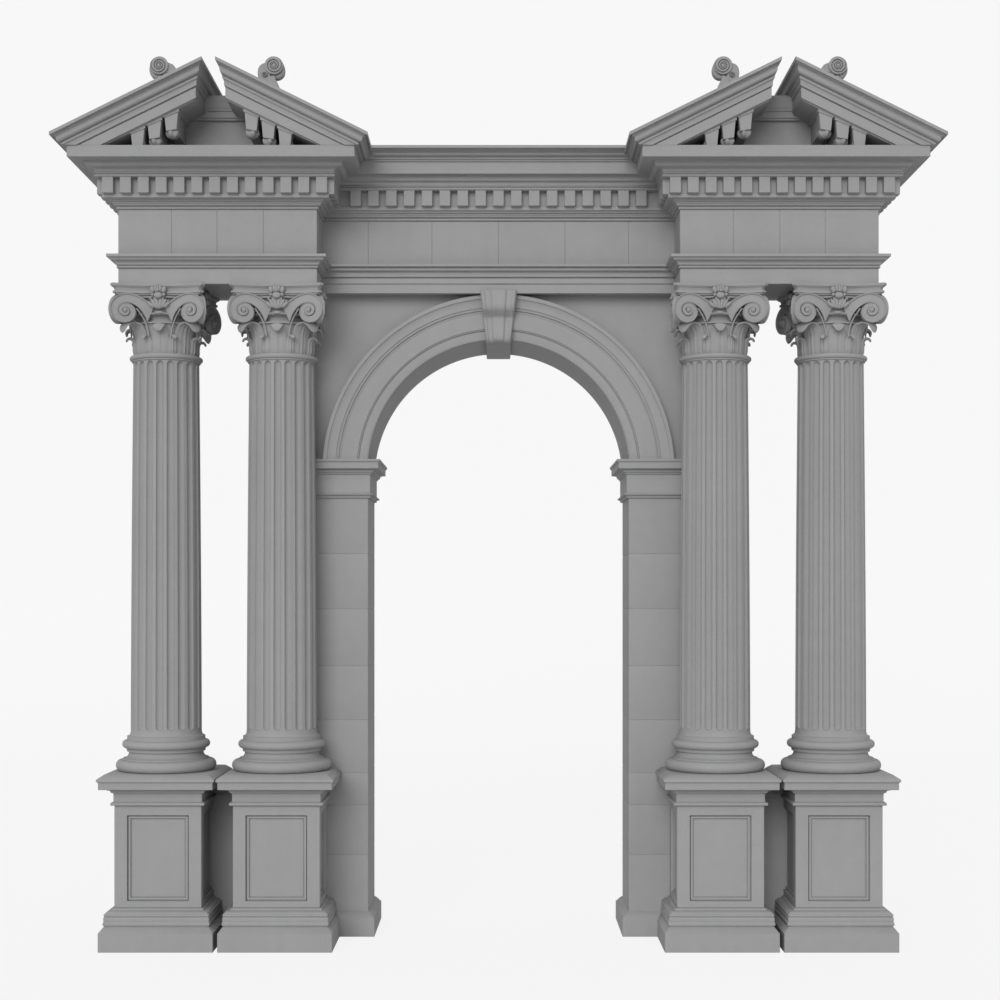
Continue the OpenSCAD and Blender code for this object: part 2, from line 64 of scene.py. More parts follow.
# Places, read from the frame; the right-hand half is worked out and mirrored
outerX = middle("right_outer_shaft", 0)
innerX = middle("right_inner_shaft", 0)
pairX = (outerX + innerX) / 2
columnY = middle("right_outer_shaft", 1)
capOut, plinthOut = 0.150, 0.070  # how far a pedestal's cap and a pier's plinth stand out
dieFront = low("right_outer_pedestal", 1) + capOut
dieHalf = columnY - dieFront
wallFront, wallBack = low("arch_wall", 1), high("arch_wall", 1)
wallHalf = high("arch_wall", 0)
openingHalf = low("right_pier", 0) + plinthOut
blockFront, blockBack = low("right_block_frieze", 1), high("right_block_frieze", 1)
blockHalf = high("right_block_frieze", 0) - pairX
friezeFront, friezeBack = low("wall_frieze", 1), high("wall_frieze", 1)
shaftFoot, capitalFoot = low("right_outer_shaft", 2), low("right_outer_capital", 2)
pedestalTop = high("right_outer_pedestal", 2)
architraveFoot = high("right_outer_capital", 2)
friezeFoot, bedFoot = low("wall_frieze", 2), high("wall_frieze", 2)
coronaTop = high("right_block_cornice", 2)
impostFoot, impostTop = low("right_impost", 2), high("right_impost", 2)


def shown(name, data):
    made = bpy.data.objects.new(name, data)
    scene.collection.objects.link(made)
    return made


# The camera's distance is measured from the front of the pedestals
shot = {"distance": 16.7, "height": 3.499, "lens": 60.12, "shiftX": 0.0015, "shiftY": 0.100}
lens = bpy.data.cameras.new("camera")
lens.sensor_width, lens.lens, lens.clip_end = 36, shot["lens"], 200
lens.shift_x, lens.shift_y = shot["shiftX"], shot["shiftY"]
scene.camera = shown("camera", lens)
scene.camera.location = (0, dieFront - shot["distance"], shot["height"])
scene.camera.rotation_euler = (math.pi / 2, 0, 0)
scene.view_settings.view_transform = "Standard"


def setInputs(tree, node, inputs):
    # Each input gets a plain value, or a link where a socket is given
    for key, value in inputs.items():
        if isinstance(value, bpy.types.NodeSocket):
            tree.links.new(value, node.inputs[key])
        else:
            node.inputs[key].default_value = value
    return node.outputs


def added(tree, kind, inputs):
    return setInputs(tree, tree.nodes.new("ShaderNode" + kind), inputs)


def mathsNode(tree, operation, a, b):
    node = tree.nodes.new("ShaderNodeMath")
    node.operation = operation
    return setInputs(tree, node, {0: a, 1: b})[0]


def anyRay(tree, *kinds):
    # 1 where the ray is of one of these kinds, else 0
    path = added(tree, "LightPath", {})
    found = path[kinds[0]]
    for kind in kinds[1:]:
        found = mathsNode(tree, "MAXIMUM", found, path[kind])
    return found


def grey(level):
    return (level, level, level, 1)


# The sky lights the object; what the camera sees beyond the backdrop has its own strength
light = {"sky": 0.75, "key": 1.60, "softness": 0.6, "tilt": 68, "side": -13, "white": 0.93, "beyond": 1}
scene.world = bpy.data.worlds.new("studio")
scene.world.use_nodes = True
studio = scene.world.node_tree
sky = setInputs(studio, studio.nodes["Background"], {"Color": grey(light["white"]), "Strength": light["sky"]})
beyond = added(studio, "Background", {"Color": grey(light["white"]), "Strength": light["beyond"]})
chosen = added(studio, "MixShader", {0: anyRay(studio, "Is Camera Ray", "Is Transmission Ray"),
                                     1: sky[0], 2: beyond[0]})
setInputs(studio, studio.nodes["World Output"], {"Surface": chosen[0]})
sun = bpy.data.lights.new("softbox", "SUN")
sun.energy, sun.angle = light["key"], light["softness"]
shown("softbox", sun).rotation_euler = (math.radians(light["tilt"]), 0, math.radians(light["side"]))

# Floor and backdrop: paper colour, the near-white that is seen, and how much of it
stage = {"paper": 0.62, "glow": 0.970, "glowShare": 0.88, "reach": 60, "bendFrom": 20, "bendRadius": 6}


def stageMaterial(name):
    # Matt paper that the camera sees mostly as an even near-white, with the shadow kept
    material = bpy.data.materials.new(name)
    material.use_nodes = True
    tree = material.node_tree
    paper = setInputs(tree, tree.nodes["Principled BSDF"],
                      {"Base Color": grey(stage["paper"]), "Roughness": 0.9})
    glow = added(tree, "Emission", {"Color": grey(stage["glow"])})
    direct = anyRay(tree, "Is Camera Ray", "Is Glossy Ray", "Is Transmission Ray")
    mix = added(tree, "MixShader", {0: mathsNode(tree, "MULTIPLY", direct, stage["glowShare"]),
                                    1: paper[0], 2: glow[0]})
    setInputs(tree, tree.nodes["Material Output"], {"Surface": mix[0]})
    return material


# Dressed limestone: mottle, grain and bump are strengths, the sizes are noise scales
stoneLook = {
    "colour": (0.297, 0.297, 0.299, 1), "mottle": 0.13, "grain": 0.16, "bump": 0.35, "bumpDepth": 0.0015,
    "specular": 0.25, "roughness": 0.78, "roughnessSpread": 0.25,
    "patchSize": 0.9, "blotchSize": 7, "streakStretch": (7, 7, 0.45), "grainSize": 95, "wearSize": 40,
    "pitSize": 26, "pitRadius": 0.11, "pitShade": -0.05, "pitDepth": 0.8,
}


def stoneGroup():
    # Colour = stone * (1 + mottle * (patches + blotches + streaks) + grain * fine noise),
    # darker in small round pits, which are also hollows in the height
    group = bpy.data.node_groups.new("dressedStone", "ShaderNodeTree")
    for name, kind, side in (("Vector", "Vector", "INPUT"), ("Stone", "Color", "INPUT"),
                             ("Mottle", "Float", "INPUT"), ("Grain", "Float", "INPUT"),
                             ("Color", "Color", "OUTPUT"), ("Roughness", "Float", "OUTPUT"),
                             ("Height", "Float", "OUTPUT")):
        group.interface.new_socket(name=name, in_out=side, socket_type="NodeSocket" + kind)
    given, out = group.nodes.new("NodeGroupInput").outputs, group.nodes.new("NodeGroupOutput")

    def noise(scale, detail, stretch=(1, 1, 1)):
        mapped = added(group, "Mapping", {"Vector": given["Vector"], "Scale": stretch})[0]
        return added(group, "TexNoise", {"Vector": mapped, "Scale": scale, "Detail": detail})["Fac"]

    def maths(operation, a, b):
        return mathsNode(group, operation, a, b)

    def around(value, share):
        return maths("MULTIPLY", maths("SUBTRACT", value, 0.5), share)

    mottle = maths("ADD", around(noise(stoneLook["patchSize"], 2), 1.0),
                   around(noise(stoneLook["blotchSize"], 4), 0.7))
    streak = around(noise(1, 3, stoneLook["streakStretch"]), 0.45)
    mottle = maths("MULTIPLY", maths("ADD", mottle, streak), given["Mottle"])
    fine = noise(stoneLook["grainSize"], 3)
    pits = added(group, "TexVoronoi", {"Vector": given["Vector"], "Scale": stoneLook["pitSize"]})
    pit = maths("LESS_THAN", pits["Distance"], stoneLook["pitRadius"])
    grain = maths("MULTIPLY", around(fine, 1.0), given["Grain"])
    level = maths("ADD", maths("ADD", mottle, grain), maths("MULTIPLY", pit, stoneLook["pitShade"]))
    tint = group.nodes.new("ShaderNodeMix")
    tint.data_type, tint.blend_type = "RGBA", "MULTIPLY"
    setInputs(group, tint, {0: 1, 6: given["Stone"], 7: maths("ADD", level, 1.0)})
    wear = around(noise(stoneLook["wearSize"], 2), stoneLook["roughnessSpread"])
    setInputs(group, out, {"Color": tint.outputs[2], "Roughness": maths("ADD", wear, stoneLook["roughness"]),
                           "Height": maths("SUBTRACT", fine, maths("MULTIPLY", pit, stoneLook["pitDepth"]))})
    return group


stone = bpy.data.materials.new("limestone")
stone.use_nodes = True
limestone = stone.node_tree
groupNode = limestone.nodes.new("ShaderNodeGroup")
groupNode.node_tree = stoneGroup()
dressed = setInputs(limestone, groupNode, {
    "Vector": added(limestone, "TexCoord", {})["Object"], "Stone": stoneLook["colour"],
    "Mottle": stoneLook["mottle"], "Grain": stoneLook["grain"]})
bump = added(limestone, "Bump", {"Strength": stoneLook["bump"], "Distance": stoneLook["bumpDepth"],
                                 "Height": dressed["Height"]})
setInputs(limestone, limestone.nodes["Principled BSDF"], {
    "Base Color": dressed["Color"], "Roughness": dressed["Roughness"], "Normal": bump["Normal"],
    "Specular IOR Level": stoneLook["specular"]})
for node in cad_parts.values():
    node.data.materials.clear()
    node.data.materials.append(stone)
print("camera, light and stone ready")


def gridOf(x, y, z):
    # Rows and columns of points from arrays of their coordinates
    return np.stack(np.broadcast_arrays(x, y, z), axis=2)


def circle(steps):
    # Angles once round, as one row
    return np.linspace(0, 2 * math.pi, steps, endpoint=False)[None]


# A surface is (points, quads, caps): the caps are the faces that close its two ends
def skin(grid, loop=True, ends=True):
    # Quads between neighbouring points; loop joins the last column to the first, and
    # ends closes the first and last rows with a face each
    rows, cols = grid.shape[:2]
    index = np.arange(rows * cols).reshape(rows, cols)
    ring = np.hstack([index, index[:, :1]]) if loop else index
    quads = np.stack([ring[:-1, :-1], ring[:-1, 1:], ring[1:, 1:], ring[1:, :-1]], axis=-1)
    caps = [index[0, ::-1], index[-1]] if ends else []
    return grid.reshape(-1, 3), quads.reshape(-1, 4), caps


def moved(surfaces, matrix, shift=(0, 0, 0)):
    # points @ matrix + shift; where the matrix mirrors, each face is turned round too
    step = 1 if np.linalg.det(matrix) > 0 else -1
    return [(points @ np.array(matrix) + shift, quads[:, ::step], [cap[::step] for cap in caps])
            for points, quads, caps in surfaces]


def mirrored(surfaces):
    # x becomes -x
    return moved(surfaces, [[-1, 0, 0], [0, 1, 0], [0, 0, 1]])


def placed(surfaces, x=0, y=0, z=0, turn=0):
    # Turned about the upright axis by an angle in radians, then moved
    c, s = math.cos(turn), math.sin(turn)
    return moved(surfaces, [[c, s, 0], [-s, c, 0], [0, 0, 1]], (x, y, z))


def piece(name, surfaces, *nodes, crease=35):
    # One closed mesh of all the surfaces, which stands for the CAD nodes named
    starts = np.cumsum([0] + [len(points) for points, _, _ in surfaces])
    points = np.concatenate([part[0] for part in surfaces])
    quads = np.concatenate([part[1] + start for part, start in zip(surfaces, starts)])
    caps = [(cap + start).tolist() for part, start in zip(surfaces, starts) for cap in part[2]]
    mesh = bpy.data.meshes.new(name)
    mesh.from_pydata(points.tolist(), [], quads.tolist() + caps)
    shape = bmesh.new()
    shape.from_mesh(mesh)
    bmesh.ops.recalc_face_normals(shape, faces=shape.faces)
    shape.to_mesh(mesh)
    shape.free()
    mesh.shade_smooth()
    mesh.set_sharp_from_angle(angle=math.radians(crease))
    mesh.materials.append(stone)
    made = shown(name, mesh)
    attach(made, "root")
    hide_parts(*nodes)


def onBothSides(node, surfaces, crease=35):
    # The right-hand piece and its mirror image on the left
    name = "".join(word.capitalize() for word in node.split("_"))
    piece("right" + name, surfaces, "right_" + node, crease=crease)
    piece("left" + name, mirrored(surfaces), "left_" + node, crease=crease)


def moulding(points, steps=7):
    # Outline through the points. A third entry names the curve that leads to a point:
    # outUp and upOut are quarter ellipses, outUpOut and upOutUp two of them, and a
    # number is the swell of a half ellipse
    turn = np.linspace(0, math.pi / 2, steps + 1)[1:, None]
    quarters = {"outUp": np.hstack([np.sin(turn), 1 - np.cos(turn)]),
                "upOut": np.hstack([1 - np.cos(turn), np.sin(turn)])}
    runs = [np.array([points[0][:2]], float)]
    for point in points[1:]:
        start, end = runs[-1][-1], np.array(point[:2], float)
        kind = point[2] if len(point) > 2 else None
        if kind in quarters:
            runs.append(start + (end - start) * quarters[kind])
        elif kind in ("outUpOut", "upOutUp"):
            first, second = ("outUp", "upOut") if kind == "outUpOut" else ("upOut", "outUp")
            half = (end - start) / 2
            runs.append(start + half * quarters[first])
            runs.append(start + half + half * quarters[second])
        elif kind is not None:
            share = (1 - np.cos(2 * turn)) / 2
            runs.append(start + (end - start) * share + np.hstack([kind * np.sin(2 * turn), 0 * turn]))
        else:
            runs.append(end[None])
    return np.concatenate(runs)


def arrised(outline, cut=4):
    # Every corner sharper than about 40 degrees becomes two points, a little back from
    # it along both its sides, but one that is given twice stays sharp
    points = np.asarray(outline, float)
    before, after = points[1:-1] - points[:-2], points[2:] - points[1:-1]
    lengthBefore, lengthAfter = (np.maximum(np.hypot(*side.T), 1e-9)[:, None] for side in (before, after))
    before, after = before / lengthBefore, after / lengthAfter
    corner = (np.abs(before[:, 0] * after[:, 1] - before[:, 1] * after[:, 0]) > 0.62)[:, None]
    first = points[1:-1] - before * np.minimum(cut, lengthBefore / 3) * corner
    second = points[1:-1] + after * np.minimum(cut, lengthAfter / 3) * corner
    both = np.stack([first, second], axis=1).reshape(-1, 2)
    cutPoints = np.concatenate([points[:1], both, points[-1:]])
    keep = np.r_[True, np.hypot(*np.diff(cutPoints, axis=0).T) > 1e-4]
    return cutPoints[keep]


def block(x0, x1, y0, y1, outline, left=1, right=1, front=1, back=1, foot=0, cut=0.004):
    # Rectangle rings, one for each point of the outline: an edge at x1 lies at
    # x1 + right * out, and so on round, with the four corners cut a little
    out, z = (arrised(outline) / 1000).T[:, :, None]
    xl, xr, yf, yb = x0 - left * out, x1 + right * out, y0 - front * out, y1 + back * out
    x = np.hstack([xl + cut, xr - cut, xr, xr, xr - cut, xl + cut, xl, xl])
    y = np.hstack([yf, yf, yf + cut, yb - cut, yb, yb, yb - cut, yf + cut])
    return skin(gridOf(x, y, z + foot))


def slab(outline, y0, y1, cut=0.004):
    # Outline of (x, z) points given its thickness from y0 back to y1, its edges cut
    points = np.array(outline, float)
    centre = points.mean(axis=0)
    size = np.abs(points - centre).max()
    rings = [(1 - cut / size, y0), (1, y0 + cut), (1, y1 - cut), (1 - cut / size, y1)]
    grid = np.stack([np.insert(centre + (points - centre) * scale, 1, y, axis=1) for scale, y in rings])
    return skin(grid)


def turned(radius, angle, z, x=0, y=0, flatY=math.inf):
    # Points round an upright axis; what would pass the plane flatY is flattened onto it
    return skin(gridOf(x + radius * np.cos(angle), np.minimum(y + radius * np.sin(angle), flatY), z))


# Pedestals: [out, height] of the foot and cap, and [inset, depth] of the sunk panel's steps
pedestal = {
    "footHeight": 0.420, "capHeight": 0.318,
    "foot": [[135, 0], [135, 187], [94, 240], [84, 244], [84, 252], [92, 256], [92, 292, 5], [88, 296],
             [88, 340, 3], [80, 343], [80, 347], [86, 349], [86, 370, 2], [76, 373], [30, 398, "upOut"],
             [22, 401], [22, 406], [0, 420, "upOut"]],
    "cap": [[0, 0], [30, 3], [30, 32, 4], [8, 36], [8, 112], [26, 130, "upOut"], [32, 132], [32, 140],
            [62, 158, "upOut"], [66, 160], [66, 170], [133, 170], [133, 236], [137, 240], [150, 250, "upOut"],
            [150, 274], [85, 318]],
    "margins": [125, 64, 96],  # round the panel, at the sides, foot and top
    "steps": [[0, 0], [2, 3], [2, 40], [12, 40], [14, 22], [32, 22], [34, 42], [43, 42], [45, 36]],
}
footHeight = pedestal["footHeight"]
dieHeight = pedestalTop - pedestal["capHeight"] - footHeight


def dieFace(width, panelled=True):
    # A mitred slab seen from its front: nested rectangles, each [inset at the sides,
    # at the foot, at the top, depth]
    rings = [[150, 150, 150, 150], [2, 2, 2, 2], [4, 4, 4, 0]]
    if panelled:
        rings += [[margin + inset for margin in pedestal["margins"]] + [depth]
                  for inset, depth in pedestal["steps"]]
    side, foot, top, depth = (np.array(rings) / 1000).T[:, :, None]
    half = width / 2 - side
    u = np.hstack([-half, half, half, -half])
    v = np.hstack([foot, foot, dieHeight - top, dieHeight - top])
    return skin(gridOf(u, depth, v))


def pedestalParts(x, depth, free):
    # Foot and cap as rings of rectangles, and a slab for each side of the die; one that
    # isn't free stands against the wall, and its mouldings stop there
    half, back = dieHalf, dieFront + depth
    parts = [block(x - half, x + half, dieFront, back, moulding(pedestal["foot"]), back=int(free)),
             block(x - half, x + half, dieFront, back, moulding(pedestal["cap"]), back=int(free),
                   foot=footHeight + dieHeight)]
    parts += placed([dieFace(2 * half)], x, dieFront, footHeight)
    parts += placed([dieFace(depth)], x + half, dieFront + depth / 2, footHeight, math.pi / 2)
    parts += placed([dieFace(depth)], x - half, dieFront + depth / 2, footHeight, -math.pi / 2)
    parts += placed([dieFace(2 * half, free)], x, back, footHeight, math.pi)
    return parts


onBothSides("outer_pedestal", pedestalParts(outerX, 2 * dieHalf, True))
onBothSides("inner_pedestal", pedestalParts(innerX, wallFront - dieFront, False))

# The low wall behind, which runs a little way into the pedestals at both its ends
dado = {"overlap": 0.1, "outline": [
    [45, 0], [45, 187], [8, 250], [0, 250], [0, 1442], [20, 1446], [20, 1478], [8, 1484], [8, 1550],
    [52, 1594, "upOut"], [60, 1612], [60, 1680]]}
onBothSides("dado_wall", [
    block(wallHalf - dado["overlap"], outerX - dieHalf + dado["overlap"], wallFront,
          high("right_dado_wall", 1), moulding(dado["outline"]), left=0, right=0, back=0)])
print("pedestals done")

# Column bases: two round rolls with a hollow between them, as [radius, height]
columnBase = {"intoWall": 0.004, "outline": [
    [440, 0], [454, 0], [454, 114, 53], [434, 117], [431, 120], [431, 131], [376, 186, "outUp"],
    [376, 192], [396, 198], [397, 214], [404, 230], [404, 312, 39], [394, 316], [394, 352], [388, 355]]}
baseRadius, baseZ = (moulding(columnBase["outline"], 9) / 1000).T[:, :, None]
behind = wallFront + columnBase["intoWall"]  # the engaged columns end just inside the wall's face
for place, x, flatY in (("outer", outerX, math.inf), ("inner", innerX, behind)):
    base = turned(baseRadius, circle(96), baseZ + pedestalTop, x, columnY, flatY)
    onBothSides(place + "_column_base", [base])

# share is the part of each flute's pitch that is hollow
shaft = {"footRadius": 0.358, "topRadius": 0.332, "flutes": 20, "share": 0.70, "depth": 0.034,
         "firstFlute": 0.068, "lastFlute": 0.072, "flareHeight": 0.050, "flareOut": 0.028,
         "neckHeight": 0.066, "collarOut": 0.014, "beadRadius": 0.025}


def flutedShaft(x, flatY=math.inf):
    # Radius at height z: the swelling line, less depth * sin(phi) across each flute,
    # where the flute's half width and depth shrink as a half circle at both its ends
    height = capitalFoot - shaftFoot
    foot, top = shaft["footRadius"], shaft["topRadius"]
    sector = 2 * math.pi / shaft["flutes"]
    head = shaft["share"] * sector * foot / 2
    turn = np.linspace(0, math.pi / 2, 8)
    flare = np.stack([shaft["flareHeight"] * (1 - np.cos(turn)),
                      foot + shaft["flareOut"] * (1 - np.sin(turn)), 0 * turn + 1, 0 * turn])

    def line(z):
        # the swelling: straight at first, then drawn in faster
        t = np.clip((z - shaft["flareHeight"]) / (height - 0.125), 0, 1)
        return foot + (top - foot) * t * (0.45 + 0.55 * t)

    def fluteRows(z, shrink):
        # height, radius, share of the flute's width, share of its depth
        return np.stack([z, line(z), np.maximum(shrink, 0.03), shrink])

    lowZ = shaft["firstFlute"] + head * (1 - np.cos(turn))
    highZ = height - shaft["lastFlute"] - head * (1 - np.sin(turn))
    body = np.linspace(lowZ[-1], highZ[0], 16)[1:-1]
    neck, collar, bead = height - shaft["neckHeight"], shaft["collarOut"], shaft["beadRadius"]
    roll = np.linspace(-1.45, 1.45, 9)
    crown = np.stack([
        np.r_[neck, neck + 0.004, height - 2 * bead, height - bead + bead * np.sin(roll), height],
        np.r_[top, top + collar, top + collar, top + 0.012 + bead * np.cos(roll), top],
        np.ones(13), np.zeros(13)])
    rows = np.concatenate([flare, fluteRows(lowZ, np.sin(turn)), fluteRows(body, np.ones(14)),
                           fluteRows(highZ, np.cos(turn)), crown], axis=1)
    z, radius, width, depth = rows[:, :, None]
    phi = np.linspace(0, math.pi, 11)
    across = np.r_[-np.cos(phi), 0]
    hollow = np.r_[np.sin(phi), 0]
    isFillet = np.r_[np.zeros(11), 1]
    flute = np.arange(shaft["flutes"])[:, None] * sector - math.pi / 2
    centre = np.repeat(flute, 12, axis=1).reshape(1, -1)
    across, hollow, isFillet = (np.tile(a, shaft["flutes"])[None] for a in (across, hollow, isFillet))
    angle = centre + across * width * shaft["share"] * sector / 2 + isFillet * sector / 2
    r = radius - depth * hollow * shaft["depth"]
    return turned(r, angle, z + shaftFoot, x, columnY, flatY)


onBothSides("outer_shaft", [flutedShaft(outerX)], crease=28)
onBothSides("inner_shaft", [flutedShaft(innerX, behind)], crease=28)
print("columns done")

# Capitals, worked out round their own axis with their foot at zero. The band of a scroll
# runs between the upper and lower edges, each a curve with four control points (x, z)
capital = {
    "eye": (0.323, 0.410), "scrollTop": 0.181, "perTurn": 0.843, "turns": 2.15,
    "upperEdge": [(323, 591), (250, 601), (130, 550), (55, 455)],
    "lowerEdge": [(323, 488), (250, 498), (150, 420), (128, 300)],
    "faceOut": 0.370, "faceHollow": 0.480,
    "bell": [[312, 0], [313, 60], [316, 150], [322, 250], [338, 296, "upOut"], [356, 299], [356, 312],
             [304, 320], [296, 345], [304, 374], [350, 380], [356, 384], [356, 404, 12], [350, 408],
             [338, 412], [350, 500], [398, 548, "upOut"], [398, 562]],
    "bandFoot": 0.376, "bandHeight": 0.036, "beads": 48, "beadDepth": 0.012,
    "abacus": [[-66, 548], [-40, 572, "upOut"], [-36, 576], [-36, 586], [-18, 588], [-18, 612], [-34, 615],
               [-12, 648, "upOut"], [-12, 655], [0, 657], [0, 683]],
    "abacusHalf": 0.473, "abacusRise": 0.064, "abacusHorn": 0.030,
    # leaves: path of (out, height), half widths at the foot, middle and lip, ribs on each
    # side, where along the path the tip starts to close, how far the edges hang
    "frontLeaf": {"path": [(320, 0), (330, 90), (333, 190), (350, 244), (372, 272), (396, 260), (394, 226)],
                  "width": (0.112, 0.078, 0.064), "ribs": 2.5, "tip": 0.62, "droop": 0.014},
    "cornerLeaf": {"path": [(320, 0), (332, 90), (336, 190), (372, 272), (434, 302), (490, 284), (508, 216)],
                   "width": (0.112, 0.104, 0.068), "ribs": 2.5, "tip": 0.74, "droop": 0.022},
    "lowLeaf": {"path": [(326, 0), (338, 45), (339, 100), (346, 145), (368, 163), (390, 155), (396, 137)],
                "width": (0.046, 0.044, 0.024), "ribs": 1.5, "tip": 0.72, "droop": 0.004},
    # stalks under the ribbons: (x, out, height)
    "stem": [(222, 392, 438), (190, 376, 392), (160, 356, 345), (136, 341, 290), (121, 335, 235),
             (113, 335, 185), (117, 342, 160)],
    # fans of small lobes: (turn in degrees, x, height, half width, half length)
    "calyx": [(-50, -78, 476, 19, 46), (-30, -48, 486, 19, 56), (-10, -16, 492, 19, 60),
              (10, 16, 492, 19, 60), (30, 48, 486, 19, 56), (50, 78, 476, 19, 46),
              (0, -94, 512, 15, 14), (0, 82, 536, 15, 14)],
    "flower": [(-14, -56, 622, 26, 36), (-7, -22, 630, 18, 38), (7, 22, 630, 18, 38), (14, 56, 622, 26, 36),
               (0, 0, 634, 14, 38), (0, 0, 566, 44, 34), (0, -56, 572, 18, 18), (0, 56, 572, 18, 18)],
    "calyxOut": 0.402, "flowerOut": 0.426,
    # the block behind the flower, in metres: (x, height)
    "carrier": [(-0.05, 0.45), (0.05, 0.45), (0.06, 0.66), (-0.06, 0.66)],
}


def bezier(controls, t):
    # a (1 - t)^3 + 3 b t (1 - t)^2 + 3 c t^2 (1 - t) + d t^3
    a, b, c, d = (np.array(p) / 1000 for p in controls)
    t = t[:, None]
    return a * (1 - t) ** 3 + 3 * b * t * (1 - t) ** 2 + 3 * c * t ** 2 * (1 - t) + d * t ** 3


def smoothPath(points, t):
    # Catmull-Rom curve through points in millimetres
    p = np.array(points) / 1000
    p = np.concatenate([2 * p[:1] - p[1:2], p, 2 * p[-1:] - p[-2:-1]])
    at = np.clip(t, 0, 1) * (len(p) - 3)
    i = np.minimum(at.astype(int), len(p) - 4)
    f = (at - i)[:, None]
    a, b, c, d = p[i], p[i + 1], p[i + 2], p[i + 3]
    return 0.5 * (2 * b + (c - a) * f + (2 * a - 5 * b + 4 * c - d) * f ** 2
                  + (3 * b - a - 3 * c + d) * f ** 3)


def scrollRadius(turns):
    # The spiral: radius = top * e^(-perTurn * turns)
    return capital["scrollTop"] * np.exp(-capital["perTurn"] * turns)


def onFace(x, z, over, ribbon):
    # A point of a scroll's face: out from the axis by faceOut + faceHollow * x^2 + over,
    # where the ribbon sinks back towards the bell as it comes down
    back = 0.055 * ribbon * np.clip((0.47 - z) / 0.25, 0, 1)
    return gridOf(x, -(capital["faceOut"] + capital["faceHollow"] * x ** 2 - back + over), z)


def scrollFace():
    # Across the band, c = 0 at its outer edge and 1 at the next turn's outer edge; along
    # it, first the ribbon that rises from the bell, then the spiral r * exp(-k * turns)
    ribbonT = np.linspace(1, 0, 20)[:-1]
    turns = np.linspace(0, capital["turns"], 92)
    eye = np.array(capital["eye"])
    direction = np.stack([np.sin(2 * math.pi * turns), np.cos(2 * math.pi * turns)], axis=1)
    outer = np.concatenate([bezier(capital["upperEdge"], ribbonT),
                            eye + direction * scrollRadius(turns)[:, None]])
    inner = np.concatenate([bezier(capital["lowerEdge"], ribbonT),
                            eye + direction * scrollRadius(turns + 1)[:, None]])
    share = np.array([0, 0.02, 0.07, 0.13, 0.17, 0.22, 0.35, 0.5, 0.65, 0.8, 0.9, 0.955, 1.0])
    relief = np.array([0, 0.009, 0.012, 0.009, -0.002, -0.004, -0.003, 0, 0.002, 0.004, 0.005, 0.002,
                       -0.016])
    width = np.hypot(*(outer - inner).T)
    deep = np.clip(width / 0.103, 0.3, 1.2)[:, None]
    flat = outer[:, None] + (inner - outer)[:, None] * share[None, :, None]
    along = np.concatenate([ribbonT, 0 * turns])[:, None]
    rise = np.concatenate([0 * ribbonT, 0.019 * turns])[:, None]
    front = onFace(flat[..., 0], flat[..., 1], relief * deep + rise, along)
    flatBack = np.stack([inner, outer], axis=1)
    rear = onFace(flatBack[..., 0], flatBack[..., 1], -0.034, along)
    return skin(np.concatenate([front, rear], axis=1))


def scrollRim():
    # The rolled edge between a front scroll and its neighbour round the corner, hollowed
    turns = np.linspace(-0.02, 1.0, 56)[:, None]
    s = np.array([0, 0.03, 0.12, 0.17, 0.33, 0.5, 0.67, 0.83, 0.88, 0.97, 1.0])
    inset = np.array([0.004, 0, 0, 0.010, 0.016, 0.012, 0.016, 0.010, 0, 0, 0.004])
    both = np.r_[s, s[::-1]]
    inset = np.r_[inset, inset[::-1] + 0.030][None]
    radius = scrollRadius(turns) - inset * (scrollRadius(turns) / 0.15)
    x = capital["eye"][0] + radius * np.sin(2 * math.pi * turns)
    z = capital["eye"][1] + radius * np.cos(2 * math.pi * turns)
    front = onFace(x, z, -0.006, 0)
    side = gridOf(-front[..., 1], -front[..., 0], front[..., 2])
    return skin(front * (1 - both[None, :, None]) + side * both[None, :, None])


def knob(centre, size, lobes=0, steps=(9, 16), lean=0.0):
    # Ellipsoid, with an optional wavy edge: radius * (1 + 0.14 * cos(lobes * angle))
    down, angle = np.linspace(0.12, math.pi - 0.12, steps[0])[::-1, None], circle(steps[1])
    wave = 1 + (0.14 * np.cos(lobes * angle) if lobes else 0)
    x = np.sin(down) * np.cos(angle) * wave * size[0]
    y = np.sin(down) * np.sin(angle) * wave * size[1]
    z = np.cos(down) * size[2]
    c, s = math.cos(lean), math.sin(lean)
    return skin(gridOf(centre[0] + x * c + z * s, centre[1] + y, centre[2] - x * s + z * c))


def scrollEye():
    # A button on the middle of the spiral
    x, z = capital["eye"]
    y = -(capital["faceOut"] + capital["faceHollow"] * x ** 2)
    points, quads, caps = knob((0, 0, 0), (0.024, 0.030, 0.024))
    return points + (x, y - 0.024, z), quads, caps


def acrossCorner(made):
    # Mirror image about the upright plane through the front right corner
    return moved([made], [[0, -1, 0], [-1, 0, 0], [0, 0, 1]])[0]


